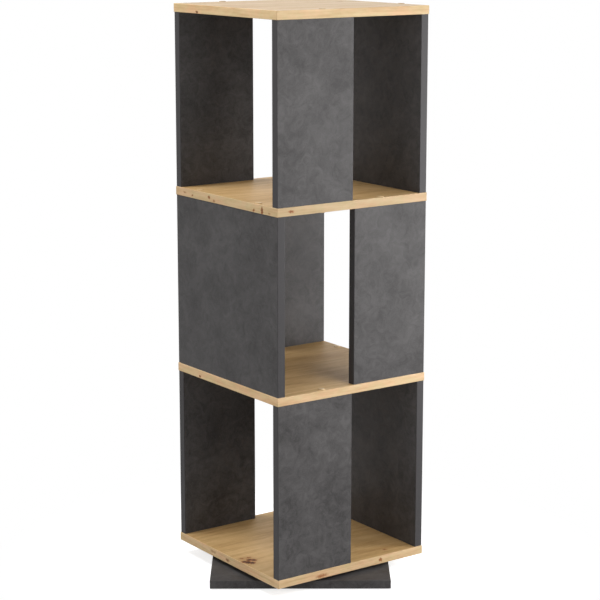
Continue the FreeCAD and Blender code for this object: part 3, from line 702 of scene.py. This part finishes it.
# %% Where the fasteners stand, and the caps
# How far the middle planes of back and side panels lie from the tower's axis, and how far along
# those planes the fasteners stand, in millimetres.
BACK_LINE, SIDE_LINE = 161.0, 161.0
BACK_SCREW, SIDE_SCREW, SIDE_DOWEL = 98.0, -66.0, -130.0
# The side along X where each tier's back panel stands, from the lowest tier up.
FACINGS = (1, -1, 1)


def screw_spots(facing, height, up):
    """Two screws in the back panel and one in each side panel of a tier that faces 1 or -1."""
    line, side = facing * BACK_LINE, facing * SIDE_SCREW
    spots = ((line, BACK_SCREW), (line, -BACK_SCREW), (side, SIDE_LINE), (side, -SIDE_LINE))
    return [(x, y, height, up) for x, y in spots]


def board_spots(level, height):
    """Screws that go down from the top of a board, and screws that go up from its underside."""
    down = screw_spots(FACINGS[level - 1], height + THICKNESS, 1) if level > 0 else []
    up = screw_spots(FACINGS[level], height, -1) if level < len(TIERS) else []
    return down, up


CAP_RADIUS, CAP_RIM, CAP_RISE, CAP_FULLNESS = 6.5, 0.6, 1.6, 0.77
RIM_BEVEL, STEM_RADIUS, STEM_BEVEL, STEM_LOW = 0.1, 1.9, 0.3, -2.5
swing = np.radians(np.linspace(0, 90, 9))
dome = np.column_stack((
    CAP_RADIUS * np.cos(swing) ** CAP_FULLNESS,
    CAP_RIM + (CAP_RISE - CAP_RIM) * np.sin(swing) ** CAP_FULLNESS,
))
# The cosine of a right angle comes out a hair above zero, and the top is a single point.
dome[-1, 0] = 0.0
stem = (
    (0, STEM_LOW), (STEM_RADIUS - STEM_BEVEL, STEM_LOW), (STEM_RADIUS, STEM_LOW + STEM_BEVEL),
    (STEM_RADIUS, 0),
)
cap = lathe(stem, ((CAP_RADIUS - RIM_BEVEL, 0), (CAP_RADIUS, RIM_BEVEL)), dome)
for level, (board, height) in enumerate(board_low.items()):
    down, up = board_spots(level, height)
    if level > 0:
        tone = top_cap_painted_sheen_and_shade if board == BOARDS[-1] else cap_oak
        make_piece(
            f"{board}_domed_caps", placed(cap, down + up), tone, "tower",
            f"{board}_caps",
        )

# %% [markdown]
# ## Screws
#
# The panels are held by flat-headed screws with six-sided sockets, and the turntable by small
# pan-headed ones with a cross recess. The thread is a ridge that climbs by its pitch in one turn: a
# point's height in pitches, less its share of a turn, says how far it is from the nearest ridge.

# %% Threads, sockets and the two kinds of screw
# Rows of points in one pitch of a thread, the share of the pitch that the ridge takes, and the
# length of the tip in pitches, with its fullness. A socket's floor is a little narrower than its rim.
THREAD_ROWS, RIDGE_SHARE = 5, 0.5
TIP_PITCHES, TIP_FULLNESS = 2, 0.7
SOCKET_FLOOR_SHARE = 0.9


def threaded(core, crest, pitch, high, low, columns):
    """Rows of a threaded shank going down from one height to another, ending in a point.

    The radius is the core, plus the thread's depth where the fractional part of height over pitch
    less the share of a turn is near one half. Over the last pitches both shrink to the tip.
    """
    rows = int(THREAD_ROWS * (high - low) / pitch)
    height = np.linspace(high, low, rows)[:, None]
    share = round_angles(columns)[None] / (2 * pi)
    ridge = 1 - np.abs(2 * ((height / pitch - share) % 1) - 1) / RIDGE_SHARE
    taper = np.clip((height - low) / (TIP_PITCHES * pitch), 0, 1) ** TIP_FULLNESS
    start = np.clip((high - height) / pitch, 0, 1)
    radius = (core + (crest - core) * np.clip(ridge, 0, 1) * start) * taper
    return radius, np.broadcast_to(height, radius.shape)


def screw(socket, head, shank, columns):
    """A screw from the middle of its socket, over its head, down to its tip.

    The socket gives a radius per column and two heights, the head is a plain profile, and the shank
    comes from the thread.
    """
    outline, floor, rim = socket
    head = np.asarray(head, float)
    radius = np.vstack((
        0 * outline, SOCKET_FLOOR_SHARE * outline, outline,
        np.repeat(head[:, :1], columns, axis=1), shank[0],
    ))
    height = np.vstack((
        np.full((1, columns), floor), np.full((1, columns), floor), np.full((1, columns), rim),
        np.repeat(head[:, 1:], columns, axis=1), shank[1],
    ))
    return carried_round(radius, height, columns)


# Columns of each kind of screw, half the width of the six-sided socket across its flats, and the
# middle, arms and narrowness of the cross recess, in millimetres. Heights start at the board's face
# or the plate's.
SIX_SIDED, SOCKET_FLAT = 24, 1.99
CROSS, CROSS_MIDDLE, CROSS_ARMS, CROSS_NARROWNESS = 32, 0.6, 1.3, 6
angle = round_angles(SIX_SIDED)[None]
six_sides = SOCKET_FLAT / np.cos(angle % (pi / 3) - pi / 6)
panel_screw = screw(
    (six_sides, -3.0, 0.0),
    np.vstack((((4.3, 0.0),), arc((4.3, -0.4), (0.4, 0.4), 90, 0, 4), ((4.7, -0.7), (3.0, -2.0)))),
    threaded(core=2.2, crest=3.3, pitch=4.0, high=-4.0, low=-50.0, columns=SIX_SIDED),
    SIX_SIDED,
)
angle = round_angles(CROSS)[None]
cross = CROSS_MIDDLE + CROSS_ARMS * np.cos(2 * angle) ** CROSS_NARROWNESS
plate_screw = screw(
    (cross, 0.6, 1.72),
    np.vstack((((2.1, 1.78),), arc((2.2, 0.7), (1.8, 1.08), 88, 0, 6), ((4.0, 0.0), (1.4, 0.0)))),
    threaded(core=1.3, crest=1.9, pitch=1.6, high=-0.8, low=-13.0, columns=CROSS),
    CROSS,
)
for level, (board, height) in enumerate(board_low.items()):
    down, up = board_spots(level, height)
    make_piece(
        f"{board}_threaded_screws", placed(panel_screw, down + up), screw_zinc, "tower",
        f"{board}_screws",
    )

PLATE_HOLE, LOWER_SEAT, UPPER_SEAT = 63.0, 19.5, 24.5
QUARTERS = ((1, 1), (-1, 1), (-1, -1), (1, -1))
lower, upper = (
    [(PLATE_HOLE * x, PLATE_HOLE * y, seat, up) for x, y in QUARTERS]
    for seat, up in ((LOWER_SEAT, 1), (UPPER_SEAT, -1))
)
make_piece(
    "lower_plate_pan_screws", turned(placed(plate_screw, lower), BASE_TURN), screw_zinc, "base",
    "lower_plate_screws",
)
make_piece(
    "upper_plate_pan_screws", placed(plate_screw, upper), screw_zinc, "tower",
    "upper_plate_screws",
)

# %% [markdown]
# ## Dowels
#
# Beech dowels keep the side panels from turning on their screws. Real ones have fluted sides, so
# that glue and air can escape, and bevelled ends. The flutes are a small cosine wave on the radius.

# %% Fluted dowels
# Heights start at the board's face, and a dowel reaches from the board's hole into the panel's. The
# depth of the flutes is a share of the radius.
DOWEL_RADIUS, DOWEL_LOW, DOWEL_HIGH = 3.75, -11.0, 19.0
BEVEL_WIDTH, BEVEL_HEIGHT = 0.75, 1.0
FLUTES, FLUTE_DEPTH, DOWEL_COLUMNS = 12, 0.045, 48
flutes = 1 - FLUTE_DEPTH * (1 - np.cos(FLUTES * round_angles(DOWEL_COLUMNS)))
end_radius = DOWEL_RADIUS - BEVEL_WIDTH
dowel = lathe(
    ((0, DOWEL_LOW), (end_radius, DOWEL_LOW), (DOWEL_RADIUS, DOWEL_LOW + BEVEL_HEIGHT)),
    ((DOWEL_RADIUS, DOWEL_HIGH - BEVEL_HEIGHT), (end_radius, DOWEL_HIGH), (0, DOWEL_HIGH)),
    columns=DOWEL_COLUMNS,
)
dowel = dowel * np.stack((flutes, flutes, np.ones(DOWEL_COLUMNS)), axis=-1)
for level, (tier, facing) in enumerate(zip(TIERS, FACINGS)):
    along = facing * SIDE_DOWEL
    low, high = TOWER_LOW + THICKNESS + level * TIER_STEP, TOWER_LOW + (level + 1) * TIER_STEP
    spots = [
        (along, side, height, up)
        for height, up in ((low, 1), (high, -1)) for side in (SIDE_LINE, -SIDE_LINE)
    ]
    make_piece(
        f"{tier}_fluted_dowels", placed(dowel, spots), beech, "tower", f"{tier}_dowels"
    )

# %% [markdown]
# ## Turntable and glides
#
# The tower turns on a ring of balls in a nylon cage, between two pressed plates that one rivet holds
# together. The plates and the cage come from the CAD model as they are. Balls, rivet, washer and
# glides are turned again with smooth profiles. Each profile is written as on a drawing, in pairs of a
# radius and a height in millimetres.

# %% Balls, rivet, washer and glides
BALL_CIRCLE, BALL_RADIUS, BALL_HEIGHT, BALLS = 51.0, 2.4, 22.0, 16
ball = lathe(arc((0, 0), (BALL_RADIUS, BALL_RADIUS), -90, 90, 13), columns=24)
around = round_angles(BALLS) + BASE_TURN
spots = [(BALL_CIRCLE * cos(turn), BALL_CIRCLE * sin(turn), BALL_HEIGHT, 1) for turn in around]
make_piece(
    "round_bearing_balls", placed(ball, spots), ball_steel, "ball_carrier",
    "bearing_balls",
)

rivet = lathe(
    ((0, 18.9), (4.5, 18.9), (5.0, 18.5)),
    arc((12.0, 19.5), (1.0, 1.0), -90, 0),
    ((13.0, 20.0), (8.0, 20.0), (8.0, 24.08), (13.0, 24.08), (13.0, 24.5)),
    arc((11.9, 24.5), (1.1, 1.08), 0, 90),
    ((5.0, 25.58), (4.5, 25.1), (0, 25.1)),
    columns=48,
)
make_piece("domed_rivet", rivet[None], zinc, "base", "turntable_rivet")

# The washer's section is four quarter circles, one round each of these points.
WASHER_CORNERS = ((19.8, 22.22), (8.3, 22.22), (8.3, 21.7), (19.8, 21.7))
WASHER_ROUND = 0.2
washer = lathe(
    *(
        arc(corner, (WASHER_ROUND, WASHER_ROUND), 90 * turn, 90 * (turn + 1), 4)
        for turn, corner in enumerate(WASHER_CORNERS)
    ),
    columns=48,
)
make_piece("round_slip_washer", washer[None], nylon, "base", "slip_washer", ring=True)

GLIDE_SPOT = 140.0
glide = lathe(
    ((0, 0.15), (6, 0.1), (9.4, 0)),
    arc((10.3, 0.7), (0.7, 0.7), -90, 0),
    arc((10.5, 1.5), (0.5, 0.5), 0, 90),
    ((1.0, 2.0), (1.0, 10.0), (0, 12.0)),
    columns=40,
)
spots = [(x, y, 0, 1) for x in (-GLIDE_SPOT, GLIDE_SPOT) for y in (-GLIDE_SPOT, GLIDE_SPOT)]
make_piece(
    "round_floor_glides", turned(placed(glide, spots), BASE_TURN), glide_black, "base",
    "floor_glides",
)

# %% [markdown]
# ## Floor and surroundings
#
# The background is white paper. For the camera, and in reflections, it simply has the brightness of
# white, but as a source of light it is weak, so the bays stay dark as in the photo. Near the base
# the floor still shows the shadow that the lamps and the object make on it.

# %% Floor disc and white surroundings
# The shadow fades out between these distances from the middle, in metres. Where it shows, the floor's
# own light lifts it to the white of the paper.
SHADOW_NEAR, SHADOW_FAR = 0.22, 0.6
FLOOR_LIFT = 0.73
LIT_FLOOR, DIM_FLOOR = (0.8, 0.8, 0.8, 1.0), (0.3, 0.3, 0.3, 1.0)
# Radii of the disc's rings and how far it lies below the glides, in metres, and its columns.
FLOOR_RINGS = (0.0, 0.5, 1.0, 2.0, 5.0, 15.0, 60.0)
FLOOR_DROP = 0.0002
FLOOR_COLUMNS = 64


def seen_directly(recipe):
    """1 for rays from the camera and for reflected and transmitted ones, 0 for scattered light."""
    path = recipe.add("ShaderNodeLightPath").outputs
    seen = recipe.math("MAXIMUM", path["Is Camera Ray"], path["Is Glossy Ray"])
    return recipe.math("MAXIMUM", seen, path["Is Transmission Ray"])


recipe = Recipe("studio_floor")
away = recipe.length(recipe.place())
lit = recipe.add("ShaderNodeBsdfDiffuse", {"Color": LIT_FLOOR})
lift = recipe.add("ShaderNodeEmission", {"Strength": FLOOR_LIFT})
near = recipe.add("ShaderNodeAddShader", {0: lit.outputs[0], 1: lift.outputs[0]})
white = recipe.add("ShaderNodeEmission", {"Strength": 1.0})
share = recipe.between(away, SHADOW_NEAR, SHADOW_FAR)
shown = recipe.add("ShaderNodeMixShader", {0: share, 1: near.outputs[0], 2: white.outputs[0]})
dim = recipe.add("ShaderNodeBsdfDiffuse", {"Color": DIM_FLOOR})
seen = seen_directly(recipe)
whole = recipe.add("ShaderNodeMixShader", {0: seen, 1: dim.outputs[0], 2: shown.outputs[0]})
recipe.add("ShaderNodeOutputMaterial", {"Surface": whole.outputs[0]})

disc = lathe([(radius, -FLOOR_DROP) for radius in FLOOR_RINGS], columns=FLOOR_COLUMNS)
# In this order the corners of each face run anticlockwise, so that it faces up.
quads = grid_faces(1, len(FLOOR_RINGS), FLOOR_COLUMNS)[:, [0, 3, 2, 1]]
floor_mesh = bpy.data.meshes.new("studio_floor")
floor_mesh.from_pydata(disc.reshape(-1, 3).tolist(), [], quads.tolist())
floor_mesh.materials.append(recipe.material)
floor = bpy.data.objects.new("studio_floor", floor_mesh)
bpy.context.scene.collection.objects.link(floor)

AMBIENT = 0.12
world = bpy.data.worlds.new("white_paper")
bpy.context.scene.world = world
sky = Recipe(world=world)
strength = sky.between(seen_directly(sky), 0.0, 1.0, AMBIENT, 1.0)
backdrop = sky.add("ShaderNodeBackground", {"Color": (1.0, 1.0, 1.0, 1.0), "Strength": strength})
sky.add("ShaderNodeOutputWorld", {"Surface": backdrop.outputs[0]})

# %% [markdown]
# ## Lamps
#
# The right face is the brightest at the top and falls off towards the floor, the left one is evenly
# half as bright, and the bays are nearly black. On the pale oak the two sides differ less than on the
# graphite, which has some gloss, so the right face must also mirror a lamp. Two lamps on the right do
# that, one low and far round, and one higher and nearer the front, which also reaches into the bays.
# A weak one stands on the left, one high up behind on the left lights the top board, and one at the
# back lights the sides that the photo does not show. The light of lamps adds up, so their strengths
# could be solved from one test picture of each.

# %% Place the lamps
# Name, place, point it faces, width and height in metres, power in watts.
LAMPS = (
    ("key_low", (1.30, -1.10, 0.60), (0.0, 0.0, 0.5), 0.7, 1.0, 24.5),
    ("key_high", (0.20, -1.64, 1.55), (0.0, 0.0, 0.75), 0.9, 1.1, 17.5),
    ("fill_high", (-1.0, 0.5, 2.6), (0.0, 0.0, 0.6), 0.9, 0.9, 36.0),
    ("fill_left", (-1.5, -0.6, 0.8), (0.0, 0.0, 0.45), 0.8, 1.2, 5.8),
    ("rear", (1.6, 1.7, 1.6), (0.0, 0.0, 0.5), 1.2, 1.6, 8.0),
)
for name, spot, target, width, height, power in LAMPS:
    lamp_data = bpy.data.lights.new(name, "AREA")
    lamp_data.shape = "RECTANGLE"
    lamp_data.size, lamp_data.size_y = width, height
    lamp_data.energy = power
    lamp = bpy.data.objects.new(name, lamp_data)
    lamp.location = spot
    lamp.rotation_euler = (Vector(spot) - Vector(target)).to_track_quat("Z", "Y").to_euler()
    bpy.context.scene.collection.objects.link(lamp)

scene = bpy.context.scene
scene.view_settings.view_transform = "Standard"
